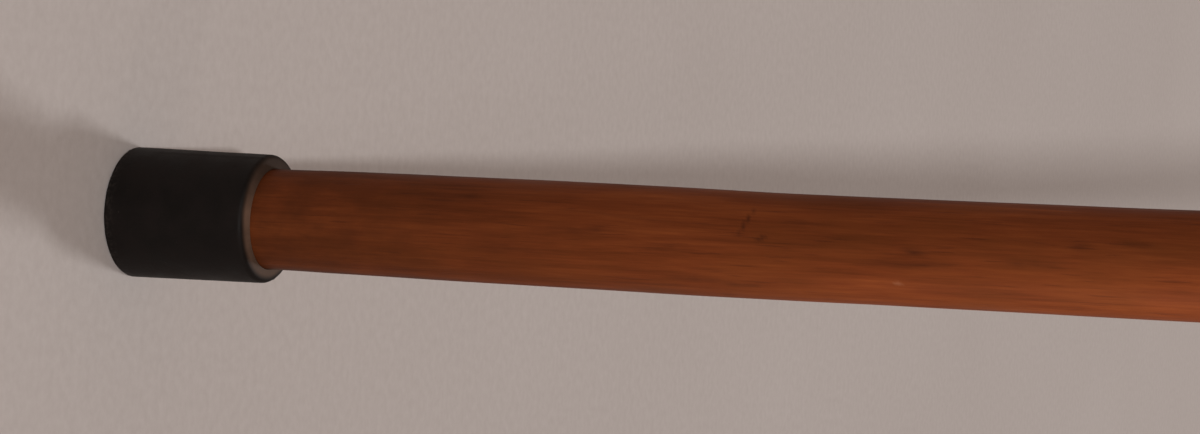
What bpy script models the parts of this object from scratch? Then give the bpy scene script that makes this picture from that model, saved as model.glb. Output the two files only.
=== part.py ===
"""Single point walking cane: a natural wood stick with a rubber ferrule and a derby handle.

Units are metres.  The origin is the centre of the ferrule's ground face, +Z runs up the
stick, and the handle's nose points along +X.
"""
import math

import bmesh
import bpy
from mathutils import Vector

# ---- driving dimensions -------------------------------------------------------------
GAP = 0.0003                     # assembly clearance between pieces that touch
TURNED_SEGMENTS = 48             # sides of the turned pieces
ARC_STEPS = 3                    # facets in each rounded corner

# rubber ferrule, a straight cup that flares slightly towards the ground
FERRULE_HEIGHT = 0.0309
FERRULE_BASE_RADIUS = 0.0130
FERRULE_MOUTH_RADIUS = 0.0127
FERRULE_BASE_ROUNDING = 0.0007
FERRULE_LIP_ROUNDING = 0.0008
SOLE_THICKNESS = 0.0060
TREAD_DEPTH = 0.0014
TREAD_SLOPE = 0.0002             # how far each groove's walls lean
TREAD_GROOVES = [(0.0102, 0.0086), (0.0066, 0.0050)]     # outer and inner radius of each

# steel washer that keeps the stick's end from cutting through the sole
WASHER_RADIUS = 0.0097
WASHER_HOLE_RADIUS = 0.0030
WASHER_THICKNESS = 0.0015

# stick
SHAFT_SEGMENTS = 32
SHAFT_RING_SPACING = 0.025
SHAFT_FOOT_RADIUS = 0.0099       # pared round where it enters the ferrule
SHAFT_END_CHAMFER = 0.0008
# height, diameter, sideways wander of the centre line in X and in Y.  The stick bows a
# little towards the nose, which balances the handle's long tail over the foot.
SHAFT_STATIONS = [
    (0.0340, 0.01990, 0.0000, 0.0000),
    (0.0670, 0.02030, -0.0001, 0.0000),
    (0.1030, 0.02035, 0.0000, 0.0001),
    (0.1400, 0.02000, 0.0001, 0.0003),
    (0.1770, 0.01995, -0.0001, 0.0005),
    (0.2130, 0.02002, -0.0003, 0.0006),
    (0.2500, 0.02010, -0.0005, 0.0006),
    (0.3300, 0.02055, 0.0000, 0.0003),
    (0.4200, 0.02095, 0.0009, -0.0003),
    (0.5200, 0.02150, 0.0018, -0.0008),
    (0.6200, 0.02200, 0.0023, -0.0009),
    (0.7200, 0.02260, 0.0020, -0.0005),
    (0.8000, 0.02310, 0.0010, -0.0001),
    (0.8450, 0.02340, 0.0000, 0.0000),
]
TENON_RADIUS = 0.0107
TENON_HEIGHT = 0.0120

# brass collar over the tenon
COLLAR_RADIUS = 0.0121
COLLAR_BEAD = 0.0005             # how far the two rolled rims stand proud
COLLAR_BEAD_HEIGHT = 0.0024

# handle
NECK_RADIUS = 0.0123
NECK_BOTTOM = 0.8575             # height of the handle's underside on the collar
HANDLE_SUBDIVISIONS = 2
# along the nose direction, height above the neck's underside, half height, half width, and
# how far the section leans towards the nose in degrees
HANDLE_STATIONS = [
    (0.0515, 0.0210, 0.0075, 0.0085, 52),
    (0.0450, 0.0272, 0.0127, 0.0132, 34),
    (0.0290, 0.0345, 0.0138, 0.0148, 12),
    (0.0125, 0.0345, 0.0135, 0.0150, 0),
    (0.0000, 0.0330, 0.0130, 0.0152, -4),
    (-0.0125, 0.0315, 0.0123, 0.0152, -6),
    (-0.0285, 0.0315, 0.0110, 0.0154, 6),
    (-0.0480, 0.0350, 0.0106, 0.0160, 14),
    (-0.0630, 0.0392, 0.0095, 0.0158, 16),
    (-0.0705, 0.0420, 0.0068, 0.0118, 18),
]
HANDLE_NOSE_PUSH = (0.0015, 0.0, -0.0020)      # how far each end's middle bulges out
HANDLE_TAIL_PUSH = (-0.0015, 0.0, 0.0005)
# radius and height of the neck's rings, from under the palm down past the flat cut
NECK_RINGS = [(0.0150, 0.0175), (0.0130, 0.0100), (NECK_RADIUS, 0.0000), (NECK_RADIUS, -0.0080)]
NECK_MIDDLE = 0.004              # a corner nearer to the axis than this is the neck's middle
OCTAGON_DRAW = (2 + math.cos(math.pi / 4)) / 3   # how far smoothing draws an octagon in
CUTTER_SIZE = 0.040
BORE_CUTTER_DROP = 0.010         # how far the bore's cutter starts below the flat
STUD_SEGMENTS = 16

# double-ended dowel screw that joins handle and stick
STUD_RADIUS = 0.0040
STUD_CHAMFER = 0.0008
STUD_IN_SHAFT = 0.0280
STUD_IN_HANDLE = 0.0240

# ---- heights that follow ------------------------------------------------------------
SOCKET_RADIUS = SHAFT_FOOT_RADIUS + GAP
WASHER_BOTTOM = SOLE_THICKNESS + GAP
SHAFT_BOTTOM = WASHER_BOTTOM + WASHER_THICKNESS + GAP
TENON_TOP = NECK_BOTTOM - GAP
SHOULDER = TENON_TOP - TENON_HEIGHT
STUD_BOTTOM = TENON_TOP - STUD_IN_SHAFT
STUD_TOP = NECK_BOTTOM + STUD_IN_HANDLE


def clear_scene():
    for item in list(bpy.data.objects):
        bpy.data.objects.remove(item, do_unlink=True)


def material(name, colour, roughness, metallic=0.0):
    made = bpy.data.materials.new(name)
    made.use_nodes = True
    shader = made.node_tree.nodes["Principled BSDF"]
    shader.inputs["Base Color"].default_value = (*colour, 1.0)
    shader.inputs["Roughness"].default_value = roughness
    shader.inputs["Metallic"].default_value = metallic
    return made


def rounded_corner(centre, radius, start, end):
    """Points on an arc about centre, angles in degrees, in the (radius, height) plane."""
    points = []
    for step in range(ARC_STEPS + 1):
        angle = math.radians(start + (end - start) * step / ARC_STEPS)
        points.append((centre[0] + radius * math.cos(angle),
                       centre[1] + radius * math.sin(angle)))
    return points


def object_from(mesh_builder, name, surface, parent):
    """Turn a bmesh into a named object under its body's empty, which stays at rest."""
    bmesh.ops.remove_doubles(mesh_builder, verts=mesh_builder.verts, dist=1e-7)
    bmesh.ops.recalc_face_normals(mesh_builder, faces=mesh_builder.faces)
    mesh = bpy.data.meshes.new(name)
    mesh_builder.to_mesh(mesh)
    mesh_builder.free()
    mesh.materials.append(surface)
    mesh.shade_smooth()
    mesh.set_sharp_from_angle(angle=math.radians(35))
    made = bpy.data.objects.new(name, mesh)
    bpy.context.collection.objects.link(made)
    mesh.transform(parent.matrix_world.inverted())
    made.parent = parent
    return made


def turned(name, outline, surface, parent, closed=False, segments=TURNED_SEGMENTS):
    """Spin an outline of (radius, height) points about the Z axis."""
    builder = bmesh.new()
    points = [builder.verts.new((radius, 0.0, height)) for radius, height in outline]
    edges = [builder.edges.new(pair) for pair in zip(points, points[1:])]
    if closed:
        edges.append(builder.edges.new((points[-1], points[0])))
    bmesh.ops.spin(builder, geom=points + edges, cent=(0, 0, 0), axis=(0, 0, 1),
                   angle=2 * math.pi, steps=segments, use_merge=True)
    bmesh.ops.remove_doubles(builder, verts=builder.verts, dist=1e-7)
    bmesh.ops.dissolve_degenerate(builder, edges=builder.edges, dist=1e-7)
    return object_from(builder, name, surface, parent)


def empty(name, height):
    made = bpy.data.objects.new(name, None)
    made.empty_display_size = 0.02
    made.location = (0.0, 0.0, height)
    bpy.context.collection.objects.link(made)
    bpy.context.view_layer.update()
    return made


# ---- ferrule and its washer ---------------------------------------------------------
def make_ferrule(surface, parent):
    outline = [(0.0, 0.0)]
    for outer, inner in reversed(TREAD_GROOVES):
        outline += [(inner, 0.0), (inner + TREAD_SLOPE, TREAD_DEPTH),
                    (outer - TREAD_SLOPE, TREAD_DEPTH), (outer, 0.0)]
    rounding = FERRULE_BASE_ROUNDING
    outline += rounded_corner((FERRULE_BASE_RADIUS - rounding, rounding), rounding, -90, 0)
    lip = FERRULE_LIP_ROUNDING
    lip_height = FERRULE_HEIGHT - lip
    outline += rounded_corner((FERRULE_MOUTH_RADIUS - lip, lip_height), lip, 0, 90)
    outline += rounded_corner((SOCKET_RADIUS + lip, lip_height), lip, 90, 180)
    outline += [(SOCKET_RADIUS, SOLE_THICKNESS), (0.0, SOLE_THICKNESS)]
    turned("ferrule", outline, surface, parent)


def make_washer(surface, parent):
    top = WASHER_BOTTOM + WASHER_THICKNESS
    outline = [(WASHER_RADIUS, top), (WASHER_RADIUS, WASHER_BOTTOM),
               (WASHER_HOLE_RADIUS, WASHER_BOTTOM), (WASHER_HOLE_RADIUS, top)]
    turned("ferrule_washer", outline, surface, parent, closed=True)


# ---- stick --------------------------------------------------------------------------
def shaft_section(height):
    """Diameter and centre of the stick at a height, on a smooth curve through stations."""
    rows = SHAFT_STATIONS
    index = max(i for i in range(len(rows) - 1) if rows[i][0] <= height or i == 0)
    before, start = rows[max(index - 1, 0)], rows[index]
    end, after = rows[index + 1], rows[min(index + 2, len(rows) - 1)]
    span = end[0] - start[0]
    t = (height - start[0]) / span
    section = []
    for value in (1, 2, 3):
        slope_in = (end[value] - before[value]) / (end[0] - before[0]) * span
        slope_out = (after[value] - start[value]) / (after[0] - start[0]) * span
        section.append((2 * t**3 - 3 * t**2 + 1) * start[value]
                       + (t**3 - 2 * t**2 + t) * slope_in
                       + (3 * t**2 - 2 * t**3) * end[value]
                       + (t**3 - t**2) * slope_out)
    return section


def shaft_rings():
    """Radius, height and centre of every ring, from the foot end up and into the bore."""
    foot = SHAFT_FOOT_RADIUS
    rings = [(foot - SHAFT_END_CHAMFER, SHAFT_BOTTOM, 0.0, 0.0),
             (foot, SHAFT_BOTTOM + SHAFT_END_CHAMFER, 0.0, 0.0),
             (foot, FERRULE_HEIGHT, 0.0, 0.0)]
    first, last = SHAFT_STATIONS[0][0], SHOULDER
    count = round((last - first) / SHAFT_RING_SPACING)
    for step in range(count + 1):
        height = first + (last - first) * step / count
        diameter, x, y = shaft_section(height)
        rings.append((diameter / 2, height, x, y))
    bore = STUD_RADIUS + GAP
    rings += [(TENON_RADIUS, SHOULDER, 0.0, 0.0), (TENON_RADIUS, TENON_TOP, 0.0, 0.0),
              (bore, TENON_TOP, 0.0, 0.0), (bore, STUD_BOTTOM - GAP, 0.0, 0.0)]
    return rings


def make_shaft(surface, parent):
    builder = bmesh.new()
    previous = None
    for radius, height, x, y in shaft_rings():
        ring = []
        for side in range(SHAFT_SEGMENTS):
            angle = 2 * math.pi * side / SHAFT_SEGMENTS
            ring.append(builder.verts.new((x + radius * math.cos(angle),
                                           y + radius * math.sin(angle), height)))
        if previous is None:
            builder.faces.new(ring)
        else:
            for side in range(SHAFT_SEGMENTS):
                following = (side + 1) % SHAFT_SEGMENTS
                builder.faces.new((previous[side], previous[following],
                                   ring[following], ring[side]))
        previous = ring
    builder.faces.new(previous)
    object_from(builder, "shaft", surface, parent)


# ---- collar -------------------------------------------------------------------------
def make_collar(surface, parent):
    bottom, top = SHOULDER + GAP, TENON_TOP
    inner, proud = TENON_RADIUS + GAP, COLLAR_RADIUS + COLLAR_BEAD
    outline = [(inner, top)]
    for edge in (top, bottom + COLLAR_BEAD_HEIGHT):
        outline += [(COLLAR_RADIUS, edge), (proud, edge - COLLAR_BEAD_HEIGHT / 4),
                    (proud, edge - COLLAR_BEAD_HEIGHT * 3 / 4),
                    (COLLAR_RADIUS, edge - COLLAR_BEAD_HEIGHT)]
    outline.append((inner, bottom))
    turned("collar", outline, surface, parent, closed=True)


# ---- handle -------------------------------------------------------------------------
def handle_ring(builder, station):
    """Eight corners around one station of the grip, the first on its +Y side."""
    along, height, half_height, half_width, lean = station
    tilt = math.radians(lean)
    corners = []
    for corner in range(8):
        angle = math.pi / 4 * corner
        sideways = half_width * math.cos(angle)
        upward = half_height * math.sin(angle)
        corners.append(builder.verts.new((along + upward * math.sin(tilt), sideways,
                                          NECK_BOTTOM + height + upward * math.cos(tilt))))
    return corners


def close_end(builder, ring, push):
    """Close one end of the grip with four quads about a middle point."""
    middle = sum((corner.co for corner in ring), Vector()) / 8
    centre = builder.verts.new(middle + Vector(push))
    for corner in range(0, 8, 2):
        builder.faces.new((ring[corner], ring[corner + 1], ring[(corner + 2) % 8], centre))


def make_handle(surface, parent):
    builder = bmesh.new()
    rings = [handle_ring(builder, station) for station in HANDLE_STATIONS]
    underside = []
    for index, (ring, following) in enumerate(zip(rings, rings[1:])):
        for corner in range(8):
            after = (corner + 1) % 8
            face = builder.faces.new((ring[corner], ring[after],
                                      following[after], following[corner]))
            if index in (3, 4) and corner in (5, 6):
                underside.append(face)
    close_end(builder, rings[0], HANDLE_NOSE_PUSH)
    close_end(builder, rings[-1], HANDLE_TAIL_PUSH)

    # the neck grows down from the four faces about the stick's axis
    for radius, height in NECK_RINGS:
        grown = bmesh.ops.extrude_face_region(builder, geom=underside)["geom"]
        bmesh.ops.delete(builder, geom=underside, context="FACES")
        underside = [item for item in grown if isinstance(item, bmesh.types.BMFace)]
        for corner in {corner for face in underside for corner in face.verts}:
            flat = Vector((corner.co.x, corner.co.y))
            if flat.length < NECK_MIDDLE:
                flat = Vector((0.0, 0.0))
            else:
                turn = round(math.atan2(flat.y, flat.x) / (math.pi / 4)) * math.pi / 4
                flat = Vector((math.cos(turn), math.sin(turn))) * radius / OCTAGON_DRAW
            corner.co = (flat.x, flat.y, NECK_BOTTOM + height)

    handle = object_from(builder, "handle", surface, parent)
    smooth = handle.modifiers.new("smooth", "SUBSURF")
    smooth.levels = HANDLE_SUBDIVISIONS
    smooth.render_levels = HANDLE_SUBDIVISIONS
    cut_with(handle, flat_cutter(parent), "flat_neck")
    cut_with(handle, bore_cutter(parent), "stud_bore")


def cut_with(piece, cutter, name):
    cutter.hide_render = True
    cutter.display_type = "WIRE"
    cut = piece.modifiers.new(name, "BOOLEAN")
    cut.operation = "DIFFERENCE"
    cut.solver = "EXACT"
    cut.object = cutter


def flat_cutter(parent):
    """A block whose top trims the neck flat where it meets the collar."""
    builder = bmesh.new()
    bmesh.ops.create_cube(builder, size=CUTTER_SIZE)
    for corner in builder.verts:
        corner.co.z += NECK_BOTTOM - CUTTER_SIZE / 2
    return object_from(builder, "neck_cutter", bpy.data.materials["cutter"], parent)


def bore_cutter(parent):
    radius, top = STUD_RADIUS + GAP, STUD_TOP + GAP
    start = NECK_BOTTOM - BORE_CUTTER_DROP
    outline = [(0.0, top), (radius, top), (radius, start), (0.0, start)]
    return turned("bore_cutter", outline, bpy.data.materials["cutter"], parent,
                  segments=STUD_SEGMENTS)


def make_stud(surface, parent):
    slim = STUD_RADIUS - STUD_CHAMFER
    outline = [(0.0, STUD_TOP), (slim, STUD_TOP), (STUD_RADIUS, STUD_TOP - STUD_CHAMFER),
               (STUD_RADIUS, STUD_BOTTOM + STUD_CHAMFER), (slim, STUD_BOTTOM),
               (0.0, STUD_BOTTOM)]
    turned("handle_stud", outline, surface, parent, segments=STUD_SEGMENTS)


def main():
    clear_scene()
    rubber = material("black_rubber", (0.012, 0.011, 0.010), 0.62)
    steel = material("zinc_steel", (0.55, 0.56, 0.57), 0.38, 1.0)
    wood = material("stained_wood", (0.17, 0.045, 0.016), 0.36)
    dark_wood = material("handle_wood", (0.12, 0.032, 0.012), 0.32)
    brass = material("aged_brass", (0.60, 0.42, 0.18), 0.30, 1.0)
    material("cutter", (0.8, 0.1, 0.1), 0.5)

    foot = empty("foot_body", 0.0)
    stick = empty("stick_body", SHAFT_BOTTOM)
    make_ferrule(rubber, foot)
    make_washer(steel, foot)
    make_shaft(wood, stick)
    make_collar(brass, stick)
    make_handle(dark_wood, stick)
    make_stud(steel, stick)


main()
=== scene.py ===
import math

import bmesh
import bpy
import numpy as np
from mathutils import Matrix, Vector, noise


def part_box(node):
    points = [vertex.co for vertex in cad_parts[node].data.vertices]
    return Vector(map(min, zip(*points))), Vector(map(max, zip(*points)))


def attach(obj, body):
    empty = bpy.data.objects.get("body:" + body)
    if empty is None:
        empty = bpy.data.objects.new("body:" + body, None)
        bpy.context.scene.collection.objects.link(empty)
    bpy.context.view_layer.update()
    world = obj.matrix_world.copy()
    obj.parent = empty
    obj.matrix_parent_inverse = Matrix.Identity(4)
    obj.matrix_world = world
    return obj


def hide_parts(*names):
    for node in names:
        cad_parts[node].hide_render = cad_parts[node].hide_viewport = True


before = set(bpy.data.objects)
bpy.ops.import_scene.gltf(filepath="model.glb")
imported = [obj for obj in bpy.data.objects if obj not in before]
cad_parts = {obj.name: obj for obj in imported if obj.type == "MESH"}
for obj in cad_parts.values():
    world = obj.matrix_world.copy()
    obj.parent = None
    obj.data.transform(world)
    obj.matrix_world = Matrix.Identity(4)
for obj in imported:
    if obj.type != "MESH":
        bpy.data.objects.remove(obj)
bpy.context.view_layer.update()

MM = 0.001
SEGMENTS = 128                   # sides of the ferrule, washer and collar
CREASE_ANGLE = math.radians(38)  # steeper edges are shaded sharp
HANDLE_CREASE_ANGLE = math.radians(50)


# ---- mesh tools -----------------------------------------------------------------------
def mesh_object(name, points, faces):
    mesh = bpy.data.meshes.new(name)
    mesh.from_pydata([tuple(point) for point in points], [], faces)
    mesh.validate()
    mesh.shade_smooth()
    mesh.set_sharp_from_angle(angle=CREASE_ANGLE)
    made = bpy.data.objects.new(name, mesh)
    bpy.context.scene.collection.objects.link(made)
    return made


def skin_rings(name, rings, closed=False):
    """One body through rings of points, each counterclockwise, that run up the outside.

    The ends are capped, or joined to each other where the rings close on themselves."""
    sides = len(rings[0])
    points = [point for ring in rings for point in ring]
    count = len(rings)
    faces = []
    for row in range(count if closed else count - 1):
        low, high = row * sides, (row + 1) % count * sides
        for side in range(sides):
            after = (side + 1) % sides
            faces.append((low + side, low + after, high + after, high + side))
    if not closed:
        for row, outward in ((0, False), (count - 1, True)):
            middle = len(points)
            ring = np.array(rings[row])
            points.append(ring.mean(axis=0))
            for side in range(sides):
                pair = (row * sides + side, row * sides + (side + 1) % sides)
                faces.append((middle, *pair) if outward else (middle, *reversed(pair)))
    return mesh_object(name, points, faces)


def turned(name, profile, shape, closed=False):
    """A piece turned about Z from (radius, height) points, each nudged by shape."""
    rings = []
    for radius, height in profile:
        ring = []
        for side in range(SEGMENTS):
            angle = 2 * math.pi * side / SEGMENTS
            r, z = shape(radius, height, angle)
            ring.append((r * math.cos(angle), r * math.sin(angle), z))
        rings.append(ring)
    return skin_rings(name, rings, closed)


def arc(centre, radius, start, end, steps):
    """Points on an arc in the (radius, height) plane, angles in degrees."""
    angles = np.radians(np.linspace(start, end, steps + 1))
    return [(centre[0] + radius * math.cos(a), centre[1] + radius * math.sin(a))
            for a in angles]


def line(start, end, steps):
    """Points strictly between start and end."""
    return [(start[0] + (end[0] - start[0]) * t, start[1] + (end[1] - start[1]) * t)
            for t in np.linspace(0, 1, steps + 1)[1:-1]]


def grain(x, y, z):
    """Smooth noise between -1 and 1."""
    return noise.noise(Vector((x, y, z)))


def clamp(value):
    """The value held between 0 and 1."""
    return min(1.0, max(0.0, value))


# ---- node tools -----------------------------------------------------------------------
class Surface:
    """A material built from nodes, in the piece's own coordinates."""

    def __init__(self, name, roughness, metallic=0.0):
        self.material = bpy.data.materials.new(name)
        self.material.use_nodes = True
        self.tree = self.material.node_tree
        self.shader = self.tree.nodes["Principled BSDF"]
        self.shader.inputs["Roughness"].default_value = roughness
        self.shader.inputs["Metallic"].default_value = metallic
        self.place = self.node("ShaderNodeTexCoord").outputs["Object"]

    def node(self, kind, **settings):
        made = self.tree.nodes.new(kind)
        for key, value in settings.items():
            setattr(made, key, value)
        return made

    def feed(self, value, socket):
        if isinstance(value, bpy.types.NodeSocket):
            self.tree.links.new(value, socket)
        else:
            socket.default_value = value

    def math(self, operation, *values):
        made = self.node("ShaderNodeMath", operation=operation)
        for value, socket in zip(values, made.inputs):
            self.feed(value, socket)
        return made.outputs[0]

    def stretch(self, scale, shift=(0.0, 0.0, 0.0)):
        """The piece's coordinates times a scale for each axis."""
        made = self.node("ShaderNodeMapping")
        self.feed(self.place, made.inputs["Vector"])
        made.inputs["Scale"].default_value = scale
        made.inputs["Location"].default_value = shift
        return made.outputs[0]

    def noise(self, where, detail=4.0, rough=0.55, distortion=0.0):
        made = self.node("ShaderNodeTexNoise")
        self.feed(where, made.inputs["Vector"])
        made.inputs["Scale"].default_value = 1.0
        made.inputs["Detail"].default_value = detail
        made.inputs["Roughness"].default_value = rough
        made.inputs["Distortion"].default_value = distortion
        return made.outputs["Fac"]

    def ramp(self, value, *stops):
        """Stops are (position, grey) or (position, (r, g, b))."""
        made = self.node("ShaderNodeValToRGB")
        self.feed(value, made.inputs["Fac"])
        elements = made.color_ramp.elements
        while len(elements) < len(stops):
            elements.new(0.5)
        for element, (position, colour) in zip(elements, stops):
            element.position = position
            rgb = colour if isinstance(colour, tuple) else (colour,) * 3
            element.color = (*rgb, 1.0)
        return made.outputs["Color"]

    def blend(self, factor, first, second):
        made = self.node("ShaderNodeMix", data_type="RGBA")
        self.feed(factor, made.inputs["Factor"])
        for value, socket in ((first, made.inputs[6]), (second, made.inputs[7])):
            self.feed((*value, 1.0) if isinstance(value, tuple) else value, socket)
        return made.outputs[2]

    def relief(self, height, distance, strength, under=None):
        made = self.node("ShaderNodeBump")
        made.inputs["Strength"].default_value = strength
        made.inputs["Distance"].default_value = distance
        self.feed(height, made.inputs["Height"])
        if under:
            self.feed(under, made.inputs["Normal"])
        return made.outputs[0]

    def xyz(self):
        """The point's own X, Y and Z, in metres."""
        made = self.node("ShaderNodeSeparateXYZ")
        self.feed(self.place, made.inputs[0])
        return list(made.outputs)

    def between(self, value, low, high):
        """0 below low, 1 above high, smooth between."""
        made = self.node("ShaderNodeMapRange", interpolation_type="SMOOTHSTEP")
        self.feed(value, made.inputs["Value"])
        made.inputs["From Min"].default_value = low
        made.inputs["From Max"].default_value = high
        return made.outputs[0]

    def finish(self, colour, roughness=None, normal=None):
        self.feed(colour, self.shader.inputs["Base Color"])
        if roughness:
            self.feed(roughness, self.shader.inputs["Roughness"])
        if normal:
            self.feed(normal, self.shader.inputs["Normal"])
        return self.material


def painted(surface, name):
    """The mesh attribute of that name, as a value from 0 to 1."""
    made = surface.node("ShaderNodeAttribute", attribute_name=name)
    return made.outputs["Fac"]


def stained_wood():
    """Reddish-brown stained wood with long streaks, short dark pores and satin lacquer."""
    wood = Surface("stained_wood", 0.5)
    broad = wood.noise(wood.stretch((85, 85, 17)), 4.0, 0.60, 0.4)
    streaks = wood.noise(wood.stretch((600, 600, 27), (3.1, 1.7, 0.4)), 4.0, 0.60, 0.35)
    fibres = wood.noise(wood.stretch((2300, 2300, 110), (0.3, 5.1, 2.2)), 3.0, 0.6)
    tone = wood.math("MULTIPLY_ADD", broad, 0.44, wood.math("MULTIPLY", streaks, 0.36))
    tone = wood.math("MULTIPLY_ADD", fibres, 0.20, tone)
    colour = wood.ramp(tone, (0.34, (0.097, 0.0230, 0.0060)), (0.50, (0.169, 0.0392, 0.0104)),
                       (0.66, (0.246, 0.0615, 0.0155)))
    olive = wood.noise(wood.stretch((70, 70, 32), (6.1, 4.4, 0.7)), 3.0, 0.6)
    colour = wood.blend(wood.math("MULTIPLY", wood.between(olive, 0.42, 0.66), 0.30), colour,
                        (0.146, 0.0415, 0.0092))
    pores = wood.noise(wood.stretch((1700, 1700, 95), (7.7, 2.9, 1.3)), 2.0, 0.5)
    pores = wood.between(pores, 0.62, 0.74)
    dark_lines = wood.noise(wood.stretch((560, 560, 20), (1.9, 8.3, 3.7)), 3.0, 0.6, 0.3)
    dark_lines = wood.between(dark_lines, 0.60, 0.74)
    colour = wood.blend(wood.math("MULTIPLY", pores, 0.26), colour, (0.034, 0.010, 0.006))
    colour = wood.blend(wood.math("MULTIPLY", dark_lines, 0.26), colour,
                        (0.058, 0.017, 0.008))
    height = wood.math("MULTIPLY_ADD", fibres, 0.5, streaks)
    height = wood.math("MULTIPLY_ADD", pores, -0.5, height)
    rough = wood.ramp(wood.noise(wood.stretch((60, 60, 30), (4.4, 0.2, 6.1)), 5.0, 0.6),
                      (0.3, 0.44), (0.7, 0.60))
    normal = wood.relief(height, 0.00010, 0.45)
    colour, rough = shaft_marks(wood, colour, rough)
    wood.shader.inputs["Specular IOR Level"].default_value = 0.06
    return wood.finish(colour, rough, normal)


def shaft_marks(wood, colour, rough):
    """Smudges, scars, grime with painted shade darkening the wood above the ferrule, and the
    rubbed, grimy end that the ferrule covers.
    """
    colour = wood.blend(painted(wood, "smudge"), colour, (0.030, 0.010, 0.005))
    colour = wood.blend(painted(wood, "pale"), colour, (0.32, 0.14, 0.075))
    height = wood.xyz()[2]
    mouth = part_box("ferrule")[1].z
    patchiness = wood.noise(wood.stretch((160, 160, 90), (2.2, 6.3, 0.9)), 4.0, 0.6)
    # grime and painted shade: patchy darkening over the 80 mm above the ferrule's mouth stands
    # in for the light falling off towards the foot
    foot = wood.math("SUBTRACT", 1.0, wood.between(height, mouth, mouth + 80 * MM))
    grime_and_shade = wood.math("MULTIPLY", foot, wood.between(patchiness, 0.05, 0.75))
    colour = wood.blend(wood.math("MULTIPLY", grime_and_shade, 0.75), colour, (0.062, 0.0175, 0.0060))
    hidden = wood.math("SUBTRACT", 1.0, wood.between(height, mouth - 3 * MM, mouth - MM))
    bare = wood.ramp(patchiness, (0.35, (0.085, 0.050, 0.032)), (0.65, (0.21, 0.125, 0.075)))
    colour = wood.blend(wood.math("MULTIPLY", hidden, 0.8), colour, bare)
    rough = wood.blend(hidden, rough, (0.72, 0.72, 0.72))
    return colour, rough


def black_rubber():
    """Matt moulded rubber, dusty round the mouth with painted shade on its tail side, and
    scuffed at the ground edge.
    """
    rubber = Surface("black_rubber", 0.6)
    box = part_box("ferrule")
    top, wide = box[1].z, box[1].x
    x, y, z = rubber.xyz()
    # distance from the axis, a little more at the nose, where the dusty ring is narrower
    out = rubber.math("MULTIPLY_ADD", x, x, rubber.math("MULTIPLY", y, y))
    out = rubber.math("MULTIPLY_ADD", x, 0.03, rubber.math("SQRT", out))
    blotch = rubber.noise(rubber.stretch((150, 150, 150)), 5.0, 0.6)
    speck = rubber.noise(rubber.stretch((1500, 1500, 1500), (2.0, 1.0, 5.0)), 3.0, 0.6)
    colour = rubber.ramp(blotch, (0.35, (0.0048, 0.0034, 0.0028)),
                         (0.65, (0.0088, 0.0058, 0.0050)))
    rim = rubber.math("SUBTRACT", 1.0, rubber.between(out, wide - 1.8 * MM, wide - 0.5 * MM))
    rim = rubber.math("MULTIPLY", rim, rubber.between(z, top - 4.0 * MM, top - 2.5 * MM))
    patchy = rubber.ramp(blotch, (0.25, 0.60), (0.6, 1.0))
    # less dust where the lip faces the handle's tail, which also paints the shade on that side
    # of the lip
    dust_and_tail_shade = rubber.ramp(rubber.between(x, -wide, 0.6 * wide), (0.0, 0.22), (0.62, 1.0),
                      (1.0, 0.62))
    dust_and_shade = rubber.math("MULTIPLY", rubber.math("MULTIPLY", rim, patchy), dust_and_tail_shade)
    colour = rubber.blend(rubber.math("MULTIPLY", dust_and_shade, 0.95), colour,
                          (0.196, 0.118, 0.081))
    scuff = rubber.math("SUBTRACT", 1.0, rubber.between(z, 0.2 * MM, 3.0 * MM))
    scuff = rubber.math("MULTIPLY", scuff, rubber.between(speck, 0.42, 0.68))
    colour = rubber.blend(rubber.math("MULTIPLY", scuff, 0.35), colour,
                          (0.060, 0.048, 0.042))
    flecks = rubber.between(speck, 0.70, 0.78)
    colour = rubber.blend(rubber.math("MULTIPLY", flecks, 0.25), colour,
                          (0.07, 0.06, 0.055))
    rough = rubber.ramp(blotch, (0.3, 0.50), (0.7, 0.68))
    pebble = rubber.relief(speck, 0.00006, 0.5)
    normal = rubber.relief(blotch, 0.0003, 0.25, pebble)
    rubber.shader.inputs["Specular IOR Level"].default_value = 0.16
    return rubber.finish(colour, rough, normal)


def aged_brass():
    """Drawn brass, brushed round the band, with patches of browner tarnish."""
    brass = Surface("aged_brass", 0.3, 1.0)
    tarnish = brass.noise(brass.stretch((130, 130, 160)), 5.0, 0.62, 0.4)
    brush = brass.noise(brass.stretch((40, 40, 9000)), 2.0, 0.5)
    colour = brass.ramp(tarnish, (0.30, (0.235, 0.140, 0.052)), (0.52, (0.50, 0.335, 0.125)),
                        (0.72, (0.66, 0.47, 0.20)))
    rough = brass.ramp(brass.math("MULTIPLY_ADD", tarnish, -0.5, brush),
                       (0.0, 0.46), (0.5, 0.24))
    normal = brass.relief(brush, 0.00003, 0.35)
    return brass.finish(colour, rough, normal)


def zinc_steel():
    """Zinc-plated steel with a faint yellow passivation bloom and rubbed spots."""
    steel = Surface("zinc_steel", 0.35, 1.0)
    bloom = steel.noise(steel.stretch((260, 260, 260)), 4.0, 0.6)
    fine = steel.noise(steel.stretch((1400, 1400, 1400), (1.0, 4.0, 2.0)), 3.0, 0.6)
    colour = steel.ramp(bloom, (0.30, (0.34, 0.32, 0.27)), (0.50, (0.52, 0.52, 0.50)),
                        (0.72, (0.66, 0.66, 0.68)))
    rough = steel.ramp(fine, (0.3, 0.28), (0.7, 0.50))
    return steel.finish(colour, rough, steel.relief(fine, 0.00003, 0.4))


# ---- the stick ------------------------------------------------------------------------
SHAFT_SIDES = 112
FINE_STEP = 0.65 * MM            # ring spacing over the stretch that the camera sees
COARSE_STEP = 2.6 * MM
FINE_TOP = 0.262
TENON_RADIUS = 10.7 * MM
BORE_RADIUS = 4.3 * MM
# shaved-off side shoots: height, angle round the stick in degrees, half size, swelling
KNOTS = [(0.196, -104, 5.5 * MM, 0.13 * MM), (0.318, 65, 8 * MM, 0.30 * MM),
         (0.437, -38, 9 * MM, 0.34 * MM), (0.561, 172, 8 * MM, 0.30 * MM),
         (0.668, -118, 9 * MM, 0.30 * MM), (0.752, 22, 8 * MM, 0.26 * MM)]
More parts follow.
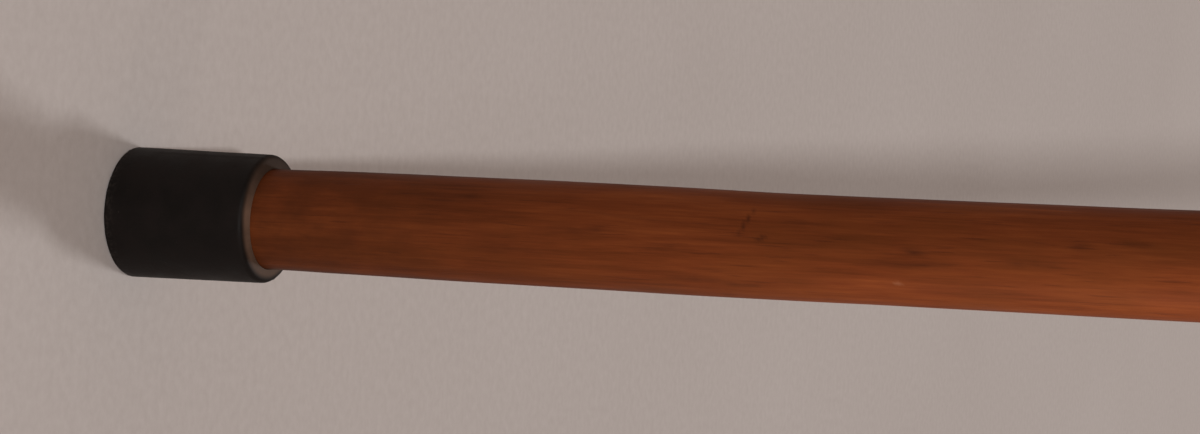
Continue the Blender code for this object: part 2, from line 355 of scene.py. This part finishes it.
# stains: height, angle, half length, half width, how dark
SMUDGES = [(0.0715, -123, 6.0 * MM, 0.8 * MM, 0.45), (0.0762, -129, 3.0 * MM, 0.8 * MM, 0.50),
           (0.1010, -96, 9.5 * MM, 0.8 * MM, 0.34), (0.1240, -46, 7.5 * MM, 0.7 * MM, 0.50),
           (0.1320, -41, 6.0 * MM, 0.7 * MM, 0.48), (0.1655, -76, 10.0 * MM, 0.7 * MM, 0.48),
           (0.1655, -91, 2.4 * MM, 0.6 * MM, 0.80), (0.1870, -84, 7.5 * MM, 0.7 * MM, 0.40),
           (0.2060, -108, 4.0 * MM, 0.7 * MM, 0.42), (0.1960, -105, 2.4 * MM, 1.1 * MM, 0.36),
           (0.1440, -118, 7.0 * MM, 0.7 * MM, 0.30), (0.0560, -78, 7.5 * MM, 0.8 * MM, 0.28),
           (0.0860, -70, 9.0 * MM, 0.7 * MM, 0.30), (0.1160, -82, 8.0 * MM, 0.6 * MM, 0.32)]
# old dents: two ends as (height, angle), half width, depth
SCARS = [((0.1318, -101), (0.1338, -131), 0.42 * MM, 0.15 * MM),
         ((0.1352, -96), (0.1371, -100), 0.50 * MM, 0.10 * MM)]
SCAR_REACH = 6 * MM              # no dent runs further than this up or down from its start
SCAR_DARKNESS = 0.62
# a tiny bare nick: height, angle, half length, half width, depth
CHIP = (0.1622, -55.5, 1.1 * MM, 0.45 * MM, 0.12 * MM)


def cad_sections(node):
    """Height, radius and centre of each ring of a CAD node that is skinned up its length."""
    points = np.array([vertex.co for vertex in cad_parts[node].data.vertices])
    sections = []
    for height in np.unique(points[:, 2].round(6)):
        ring = np.unique(points[abs(points[:, 2] - height) < 2e-6].round(7), axis=0)
        middle = (ring.max(axis=0) + ring.min(axis=0)) / 2
        radius = np.hypot(ring[:, 0] - middle[0], ring[:, 1] - middle[1]).max()
        sections.append((height, radius, middle[0], middle[1]))
    return np.array(sections)


def smooth_rows(rows, at):
    """The rows' columns at other heights, on a smooth curve through all of them."""
    heights = rows[:, 0]
    slopes = np.gradient(rows[:, 1:], heights, axis=0)
    index = np.clip(np.searchsorted(heights, at) - 1, 0, len(heights) - 2)
    span = (heights[index + 1] - heights[index])[:, None]
    t = (at - heights[index])[:, None] / span
    return ((2 * t**3 - 3 * t**2 + 1) * rows[index, 1:] + (t**3 - 2 * t**2 + t) * span
            * slopes[index] + (3 * t**2 - 2 * t**3) * rows[index + 1, 1:]
            + (t**3 - t**2) * span * slopes[index + 1])


def around(angle, target, radius):
    """Distance round the stick between two angles in degrees."""
    return math.radians((angle - target + 180) % 360 - 180) * radius


def knot_swelling(angle, height, radius):
    """How far the shaved-off side shoots lift the surface, each with a sunk heart."""
    lift = 0.0
    for z, a, size, swell in KNOTS:
        if abs(height - z) < 2.2 * size:
            reach = math.hypot((height - z) / 1.8, around(angle, a, radius)) / size
            lift += swell * (math.exp(-reach**2 * 2.2) - 0.75 * math.exp(-(reach * 3.2)**2))
    return lift


def stain(angle, height, radius):
    """The darkest of the ragged stains at a point, from 0 to 1."""
    dark = 0.0
    c, s = math.cos(math.radians(angle)), math.sin(math.radians(angle))
    for z, a, long, wide, depth in SMUDGES:
        if abs(height - z) < 1.6 * long:
            wobble = 0.5 * wide * grain(height * 260, a, 1.5)
            reach = math.hypot((height - z) / long, (around(angle, a, radius) + wobble) / wide)
            ragged = 0.75 + 0.5 * grain(c * 14, s * 14, height * 420)
            dark = max(dark, depth * ragged * math.exp(-reach**2 * 1.3))
    return dark


def scar_mask(angle, height, radius, start, end, width):
    """1 on the line from start to end, falling to 0 at its half width."""
    (z0, a0), (z1, a1) = start, end
    along = np.array([around(a1, a0, radius), z1 - z0])
    here = np.array([around(angle, a0, radius), height - z0])
    t = clamp(float(here @ along / (along @ along)))
    distance = np.linalg.norm(here - t * along) + 0.12 * MM * grain(angle, height * 900, 3)
    return max(0.0, 1 - (distance / width) ** 2) * (0.45 + 0.55 * math.sin(math.pi * t))


def build_shaft():
    box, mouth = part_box("shaft"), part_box("ferrule")[1].z
    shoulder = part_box("collar")[0].z - 0.3 * MM
    sections = cad_sections("shaft")
    body = sections[(sections[:, 0] > mouth - 0.1 * MM) & (sections[:, 0] < shoulder + 0.1 * MM)
                    & (sections[:, 1] > 2 * BORE_RADIUS)]
    foot_radius = body[0, 1]
    fine = np.arange(box[0].z + 0.8 * MM, FINE_TOP, FINE_STEP)
    coarse = np.linspace(FINE_TOP, shoulder, round((shoulder - FINE_TOP) / COARSE_STEP))
    heights = np.concatenate([fine, coarse])
    sized = smooth_rows(body, np.maximum(heights, mouth))
    rings, smudge, pale = [], [], []

    def plain_ring(radius, height):
        rings.append([(radius * math.cos(2 * math.pi * side / SHAFT_SIDES),
                       radius * math.sin(2 * math.pi * side / SHAFT_SIDES), height)
                      for side in range(SHAFT_SIDES)])
        smudge.extend([0.0] * SHAFT_SIDES)
        pale.extend([0.0] * SHAFT_SIDES)

    plain_ring(foot_radius - 0.8 * MM, box[0].z)
    for height, (base, middle_x, middle_y) in zip(heights, sized):
        # plain inside the ferrule, and fading to plain again under the collar
        natural = clamp((height - mouth) / (6 * MM))
        ends = natural * min(1.0, (shoulder - height) / (20 * MM))
        ring = []
        for side in range(SHAFT_SIDES):
            turn = 2 * math.pi * side / SHAFT_SIDES
            angle = math.degrees(turn)
            c, s = math.cos(turn), math.sin(turn)
            lumps = 0.11 * MM * grain(c * 0.9, s * 0.9, height * 22)
            ripple = 0.035 * MM * grain(c * 2.4, s * 2.4 + 5, height * 70)
            fibre = 0.014 * MM * grain(c * 11, s * 11, height * 38)
            radius = base + ends * (lumps + ripple - 0.04 * MM) + natural * fibre
            radius += knot_swelling(angle, height, base)
            dark = stain(angle, height, base)
            for start, end, width, depth in SCARS:
                if abs(height - start[0]) < SCAR_REACH:
                    mask = scar_mask(angle, height, base, start, end, width)
                    radius -= depth * mask
                    dark = max(dark, SCAR_DARKNESS * mask)
            z, a, long, wide, depth = CHIP
            reach = math.hypot((height - z) / long, around(angle, a, base) / wide)
            bare = max(0.0, 1 - reach**2)
            radius -= depth * bare
            ring.append((middle_x + radius * c, middle_y + radius * s, height))
            smudge.append(clamp(dark))
            pale.append(0.5 * bare)
        rings.append(ring)
    for radius, height in ((TENON_RADIUS, shoulder), (TENON_RADIUS, box[1].z),
                           (BORE_RADIUS, box[1].z),
                           (BORE_RADIUS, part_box("handle_stud")[0].z - 0.3 * MM)):
        plain_ring(radius, height)
    piece = skin_rings("stick", rings)
    for name, values in (("smudge", smudge), ("pale", pale)):
        attribute = piece.data.attributes.new(name, "FLOAT", "POINT")
        attribute.data.foreach_set("value", values + [0.0] * 2)
    piece.data.materials.append(stained_wood())
    return piece


# ---- ferrule, washer, collar, stud ----------------------------------------------------
SOCKET_CLEARANCE = 0.04 * MM
SOLE = 6.0 * MM
TREAD = [(10.2 * MM, 8.6 * MM), (6.6 * MM, 5.0 * MM)]      # outer and inner radius of a groove
TREAD_DEPTH = 1.4 * MM
SEAM_ANGLE = math.radians(20)    # the moulding seam runs up here and opposite
SEAM_HALF_WIDTH = 0.035          # radians
STUD_SIDES = 48
STUD_RINGS = 240


def build_ferrule():
    low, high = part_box("ferrule")
    base, top = high.x, high.z
    mouth = base - 0.3 * MM
    _height, tip_radius, _x, _y = cad_sections("shaft")[2]      # above the tip's chamfer
    socket = tip_radius + SOCKET_CLEARANCE
    profile = [(0.4 * MM, 0.0), (3.0 * MM, 0.0)]
    soft = 0.25 * MM
    for outer, inner in reversed(TREAD):
        profile += arc((inner - soft, soft), soft, -90, 0, 4)
        profile += [(inner + 0.15 * MM, TREAD_DEPTH - 0.3 * MM),
                    (inner + 0.4 * MM, TREAD_DEPTH), (outer - 0.4 * MM, TREAD_DEPTH),
                    (outer - 0.15 * MM, TREAD_DEPTH - 0.3 * MM)]
        profile += arc((outer + soft, soft), soft, 180, 270, 4)
    round_base, lip = 0.75 * MM, 0.8 * MM
    profile += arc((base - round_base, round_base), round_base, -90, 0, 8)
    profile += line((base, round_base), (mouth, top - lip), 44)
    profile += arc((mouth - lip, top - lip), lip, 0, 90, 10)
    inner_lip = 0.2 * MM
    profile += line((mouth - lip, top), (socket + inner_lip, top), 4)
    profile += arc((socket + inner_lip, top - inner_lip), inner_lip, 90, 180, 8)
    profile += line((socket, top - inner_lip), (socket, SOLE), 16)
    profile += [(socket, SOLE + 0.3 * MM), (socket - 0.3 * MM, SOLE), (0.4 * MM, SOLE)]

    def shape(radius, height, angle):
        c, s = math.cos(angle), math.sin(angle)
        if radius > socket + 0.1 * MM and height > 0.3 * MM:
            radius += 0.05 * MM * grain(c * 1.6, s * 1.6, height * 90)
            radius += 0.018 * MM * grain(c * 9, s * 9, height * 500)
            from_seam = math.acos(min(1.0, abs(math.cos(angle - SEAM_ANGLE))))
            radius += 0.10 * MM * max(0.0, 1 - (from_seam / SEAM_HALF_WIDTH)**2)
        # the lip is worn down outwards and towards the nose, and stands up at the tail
        raised = clamp((height - top + 8 * MM) / (6 * MM))
        if radius > socket - 0.1 * MM:
            outward = max(0.0, (radius - socket) / (mouth - socket))
            worn = -0.25 + 0.27 * c + 0.20 * c * c + outward * (0.65 + 0.10 * c - 0.15 * s)
            height -= raised * MM * (worn + 0.05 * grain(c * 1.3, s * 1.3, 8.0))
        if height < 0.5 * MM and radius > 10.5 * MM:
            height += 0.10 * MM * max(0.0, grain(c * 2.5, s * 2.5, 4.0))
        return min(radius, base), max(height, low.z)

    piece = turned("rubber_ferrule", profile, shape)
    piece.data.materials.append(black_rubber())
    return piece


def build_washer(material):
    low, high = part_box("ferrule_washer")
    hole, edge, outer = 3.0 * MM, 0.3 * MM, high.x
    profile = arc((hole + edge, low.z + edge), edge, 180, 270, 4)
    profile += line((hole + edge, low.z), (outer - edge, low.z), 6)
    profile += arc((outer - edge, low.z + edge), edge, -90, 0, 4)
    profile += arc((outer - edge, high.z - edge), edge, 0, 90, 4)
    profile += line((outer - edge, high.z), (hole + edge, high.z), 6)
    profile += arc((hole + edge, high.z - edge), edge, 90, 180, 4)

    def shape(radius, height, angle):
        dish = 0.05 * MM * grain(math.cos(angle), math.sin(angle), radius * 150)
        return radius, min(max(height + dish, low.z), high.z)

    piece = turned("steel_washer", profile, shape, closed=True)
    piece.data.materials.append(material)
    return piece


def build_collar():
    low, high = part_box("collar")
    proud, inner = high.x, TENON_RADIUS + 0.05 * MM
    band, bead, rolled = proud - 0.5 * MM, 1.1 * MM, 0.6 * MM

    def rim(z):
        return arc((proud - rolled, z), rolled, 80, -80, 12)

    def groove(share):
        z = low.z + (high.z - low.z) * share
        return [(band, z + 0.25 * MM), (band - 0.18 * MM, z), (band, z - 0.25 * MM)]

    profile = [(inner, high.z), (band - 0.3 * MM, high.z)]
    profile += rim(high.z - bead) + groove(0.72)
    profile += line((band, high.z - 2 * bead), (band, low.z + 2 * bead), 3)
    profile += groove(0.28) + rim(low.z + bead)
    profile += [(band - 0.3 * MM, low.z), (inner, low.z)]

    def shape(radius, height, angle):
        if radius > band - 0.05 * MM:
            radius += 0.02 * MM * grain(math.cos(angle) * 4, math.sin(angle) * 4, height * 300)
        return min(radius, proud), height

    piece = turned("brass_collar", list(reversed(profile)), shape, closed=True)
    piece.data.materials.append(aged_brass())
    return piece


def build_stud(material):
    """A dowel screw: a coarse wood thread from each end towards a plain waist."""
    low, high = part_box("handle_stud")
    radius, pitch, cut = high.x, 2.6 * MM, 0.9 * MM
    middle = (high.z + low.z) / 2
    rings = []
    for height in np.linspace(low.z, high.z, STUD_RINGS):
        ring = []
        from_end = min(height - low.z, high.z - height)
        taper = min(1.0, 0.35 + from_end / (5 * MM))
        threaded = clamp((abs(height - middle) - 2.5 * MM) / (1.5 * MM))
        for side in range(STUD_SIDES):
            angle = 2 * math.pi * side / STUD_SIDES
            phase = (height / pitch - side / STUD_SIDES) % 1.0
            groove = min(1.0, abs(phase - 0.5) * 2.6)
            r = (radius - cut * threaded * groove) * taper - 0.05 * MM
            ring.append((r * math.cos(angle), r * math.sin(angle), height))
        rings.append(ring)
    piece = skin_rings("dowel_screw", rings)
    piece.data.materials.append(material)
    return piece


# ---- handle ---------------------------------------------------------------------------
HANDLE_SUBDIVISIONS = 4
# along the nose direction, height above the neck's underside, half height, half width, and
# how far the section leans towards the nose in degrees
HANDLE_STATIONS = [
    (0.0515, 0.0210, 0.0075, 0.0085, 52),
    (0.0450, 0.0272, 0.0127, 0.0132, 34),
    (0.0290, 0.0345, 0.0138, 0.0148, 12),
    (0.0125, 0.0345, 0.0135, 0.0150, 0),
    (0.0000, 0.0330, 0.0130, 0.0152, -4),
    (-0.0125, 0.0315, 0.0123, 0.0152, -6),
    (-0.0285, 0.0315, 0.0110, 0.0154, 6),
    (-0.0480, 0.0350, 0.0106, 0.0160, 14),
    (-0.0630, 0.0392, 0.0095, 0.0158, 16),
    (-0.0705, 0.0420, 0.0068, 0.0118, 18),
]
# how far the middle of each end stands out from its last station
HANDLE_NOSE_PUSH = (1.5 * MM, 0.0, -2.0 * MM)
HANDLE_TAIL_PUSH = (-1.5 * MM, 0.0, 0.5 * MM)
# the neck's rings, from under the palm to the flat on the collar: radius, height
NECK_RINGS = [(0.0150, 0.0175), (0.0130, 0.0100), (0.0124, 0.0035), (0.0123, 0.0)]
EIGHT_SIDES = (2 + math.cos(math.pi / 4)) / 3      # how far a smoothed octagon draws in


def handle_cage(bottom, bore_top):
    """The coarse cage of the carved handle, with sharp rims at the flat and the bore."""
    builder = bmesh.new()
    rings = []
    for along, height, half_height, half_width, lean in HANDLE_STATIONS:
        tilt = math.radians(lean)
        ring = []
        for corner in range(8):
            sideways = half_width * math.cos(math.pi / 4 * corner)
            upward = half_height * math.sin(math.pi / 4 * corner)
            ring.append(builder.verts.new((along + upward * math.sin(tilt), sideways,
                                           bottom + height + upward * math.cos(tilt))))
        rings.append(ring)
    under = []
    for index, (ring, following) in enumerate(zip(rings, rings[1:])):
        for corner in range(8):
            after = (corner + 1) % 8
            face = builder.faces.new((ring[corner], ring[after],
                                      following[after], following[corner]))
            # the neck grows out of the four faces under the palm
            if index in (3, 4) and corner in (5, 6):
                under.append(face)
    for ring, push in ((rings[0], HANDLE_NOSE_PUSH), (rings[-1], HANDLE_TAIL_PUSH)):
        middle = sum((corner.co for corner in ring), Vector()) / 8
        centre = builder.verts.new(middle + Vector(push))
        for corner in range(0, 8, 2):
            builder.faces.new((ring[corner], ring[corner + 1], ring[(corner + 2) % 8], centre))
    crease = builder.edges.layers.float.new("crease_edge")
    bore = [(BORE_RADIUS, 0.0), (BORE_RADIUS, bore_top - bottom)]
    for radius, height in NECK_RINGS + bore:
        grown = bmesh.ops.extrude_face_region(builder, geom=under)["geom"]
        bmesh.ops.delete(builder, geom=under, context="FACES")
        under = [item for item in grown if isinstance(item, bmesh.types.BMFace)]
        for corner in {corner for face in under for corner in face.verts}:
            flat = Vector((corner.co.x, corner.co.y))
            if all(face in under for face in corner.link_faces):
                flat = Vector((0.0, 0.0))
            else:
                turn = round(math.atan2(flat.y, flat.x) / (math.pi / 4)) * math.pi / 4
                flat = Vector((math.cos(turn), math.sin(turn))) * radius / EIGHT_SIDES
            corner.co = (flat.x, flat.y, bottom + height)
        if (radius, height) == NECK_RINGS[-1] or (radius, height) in bore:
            for edge in {edge for face in under for edge in face.edges}:
                if not all(face in under for face in edge.link_faces):
                    edge[crease] = 1.0
    bmesh.ops.recalc_face_normals(builder, faces=builder.faces)
    return builder


def build_handle():
    low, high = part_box("handle")
    builder = handle_cage(low.z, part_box("handle_stud")[1].z + 0.3 * MM)
    cage = bpy.data.meshes.new("handle_cage")
    builder.to_mesh(cage)
    builder.free()
    piece = bpy.data.objects.new("derby_handle", cage)
    bpy.context.scene.collection.objects.link(piece)
    smooth = piece.modifiers.new("smooth", "SUBSURF")
    smooth.levels = smooth.render_levels = HANDLE_SUBDIVISIONS
    depsgraph = bpy.context.evaluated_depsgraph_get()
    made = bpy.data.meshes.new_from_object(piece.evaluated_get(depsgraph))
    piece.modifiers.clear()
    piece.data = made
    carved = []
    for vertex, normal in [(v.co.copy(), v.normal.copy()) for v in made.vertices]:
        x, y, z = vertex
        ease = min(1.0, (z - low.z) / (6 * MM))
        if math.hypot(x, y) < BORE_RADIUS + 0.4 * MM:
            ease = 0.0
        push = 0.10 * MM * grain(x * 55, y * 90, z * 90) - 0.06 * MM
        push += 0.02 * MM * grain(x * 200, y * 420, z * 420)
        carved.extend(vertex + normal * push * ease)
    made.vertices.foreach_set("co", carved)
    made.update()
    made.shade_smooth()
    made.set_sharp_from_angle(angle=HANDLE_CREASE_ANGLE)
    made.materials.append(handle_wood())
    return piece


def handle_wood():
    """Darker, closer wood whose grain runs along the handle, polished by the hand."""
    wood = Surface("handle_wood", 0.34)
    broad = wood.noise(wood.stretch((22, 120, 120)), 3.0, 0.55, 0.9)
    streaks = wood.noise(wood.stretch((30, 620, 620), (3.1, 1.7, 0.4)), 4.0, 0.6, 0.3)
    fibres = wood.noise(wood.stretch((90, 2200, 2200), (0.3, 5.1, 2.2)), 3.0, 0.6)
    tone = wood.math("MULTIPLY_ADD", broad, 0.5, wood.math("MULTIPLY", streaks, 0.38))
    tone = wood.math("MULTIPLY_ADD", fibres, 0.12, tone)
    colour = wood.ramp(tone, (0.36, (0.052, 0.0150, 0.0068)), (0.50, (0.105, 0.0290, 0.0115)),
                       (0.64, (0.165, 0.0480, 0.0175)))
    pores = wood.noise(wood.stretch((130, 1500, 1500), (7.7, 2.9, 1.3)), 2.0, 0.5)
    pores = wood.between(pores, 0.62, 0.73)
    colour = wood.blend(wood.math("MULTIPLY", pores, 0.5), colour, (0.020, 0.007, 0.004))
    worn = wood.noise(wood.stretch((45, 45, 45), (4.4, 0.2, 6.1)), 4.0, 0.6)
    rough = wood.ramp(worn, (0.3, 0.24), (0.7, 0.44))
    height = wood.math("MULTIPLY_ADD", pores, -0.6, fibres)
    wood.shader.inputs["Coat Weight"].default_value = 0.35
    wood.shader.inputs["Coat Roughness"].default_value = 0.18
    wood.shader.inputs["Specular IOR Level"].default_value = 0.45
    return wood.finish(colour, rough, wood.relief(height, 0.00008, 0.4))


# ---- floor, light, camera -------------------------------------------------------------
FLOOR_HALF = 60.0
# the camera stands 0.7 m from the foot and looks down on it by 27 degrees
CAMERA_DISTANCE = 0.700
CAMERA_ELEVATION = 27.11
FOOT_HEIGHT = 0.030
AIM = (-0.0037, 0.0, 0.1003)
ROLL = 92.9                      # the stick runs to the right and 2.9 degrees downhill
LENS = 105.9


def build_floor():
    corners = [(-FLOOR_HALF, -FLOOR_HALF, 0), (FLOOR_HALF, -FLOOR_HALF, 0),
               (FLOOR_HALF, FLOOR_HALF, 0), (-FLOOR_HALF, FLOOR_HALF, 0)]
    floor = mesh_object("floor", corners, [(0, 1, 2, 3)])
    paint = Surface("floor_paint", 0.75)
    cloudy = paint.noise(paint.stretch((3.5, 3.5, 1)), 4.0, 0.55)
    grit = paint.noise(paint.stretch((420, 420, 1)), 3.0, 0.6)
    colour = paint.ramp(cloudy, (0.3, (0.595, 0.533, 0.505)), (0.7, (0.640, 0.580, 0.553)))
    colour = paint.blend(0.10, colour, paint.ramp(grit, (0.3, 0.35), (0.7, 0.85)))
    floor.data.materials.append(paint.finish(colour, None, paint.relief(grit, 0.0002, 0.25)))


def add_light(name, data, place, target):
    made = bpy.data.objects.new(name, data)
    made.location = place
    made.rotation_euler = (Vector(target) - Vector(place)).to_track_quat("-Z", "Y").to_euler()
    made.visible_camera = False
    bpy.context.scene.collection.objects.link(made)


def far_light(name, place, width, strength, colour):
    """An even light from beyond place, as wide as a disc of that width would look there."""
    data = bpy.data.lights.new(name, "SUN")
    data.angle = 2 * math.atan(width / 2 / Vector(place).length)
    data.energy = strength
    data.color = colour
    add_light(name, data, place, (0, 0, 0))


def build_lights():
    world = bpy.data.worlds.new("room")
    world.use_nodes = True
    room = world.node_tree.nodes["Background"]
    room.inputs["Color"].default_value = (0.180, 0.128, 0.100, 1.0)
    room.inputs["Strength"].default_value = 1.0
    bpy.context.scene.world = world
    white = (1.0, 1.0, 1.0)
    far_light("key", (0.225, -5.40, 4.00), 0.18, 1.14, white)
    far_light("soft", (0.45, -5.00, 3.40), 0.90, 0.20, white)
    far_light("window", (0.42, 2.30, 2.65), 0.50, 0.74, white)
    # a little warm light on the nose side of the stick
    side = bpy.data.lights.new("side", "AREA")
    side.shape = "DISK"
    side.size = 0.30
    side.spread = math.radians(34)
    side.energy = 0.60
    side.color = (1.0, 0.90, 0.84)
    add_light("side", side, (1.00, -0.28, 0.42), (0, 0, 0.38))


def build_camera():
    elevation = math.radians(CAMERA_ELEVATION)
    place = Vector((0.0, -CAMERA_DISTANCE * math.cos(elevation),
                    FOOT_HEIGHT + CAMERA_DISTANCE * math.sin(elevation)))
    ahead = (Vector(AIM) - place).normalized()
    level = ahead.to_track_quat("-Z", "Y").to_matrix().to_4x4()
    data = bpy.data.cameras.new("camera")
    data.lens = LENS
    camera = bpy.data.objects.new("camera", data)
    camera.matrix_world = (Matrix.Translation(place) @ level
                           @ Matrix.Rotation(math.radians(ROLL), 4, "Z"))
    bpy.context.scene.collection.objects.link(camera)
    bpy.context.scene.camera = camera


def stand_in(piece, body, slot, *nodes):
    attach(piece, body)
    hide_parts(*nodes)


steel = zinc_steel()
stand_in(build_ferrule(), "foot", "black_rubber", "ferrule")
stand_in(build_washer(steel), "foot", "zinc_steel", "ferrule_washer")
stand_in(build_shaft(), "stick", "stained_wood", "shaft")
stand_in(build_collar(), "stick", "aged_brass", "collar")
stand_in(build_handle(), "stick", "handle_wood", "handle")
stand_in(build_stud(steel), "stick", "zinc_steel", "handle_stud")
build_floor()
build_lights()
build_camera()
bpy.context.scene.view_settings.view_transform = "Standard"
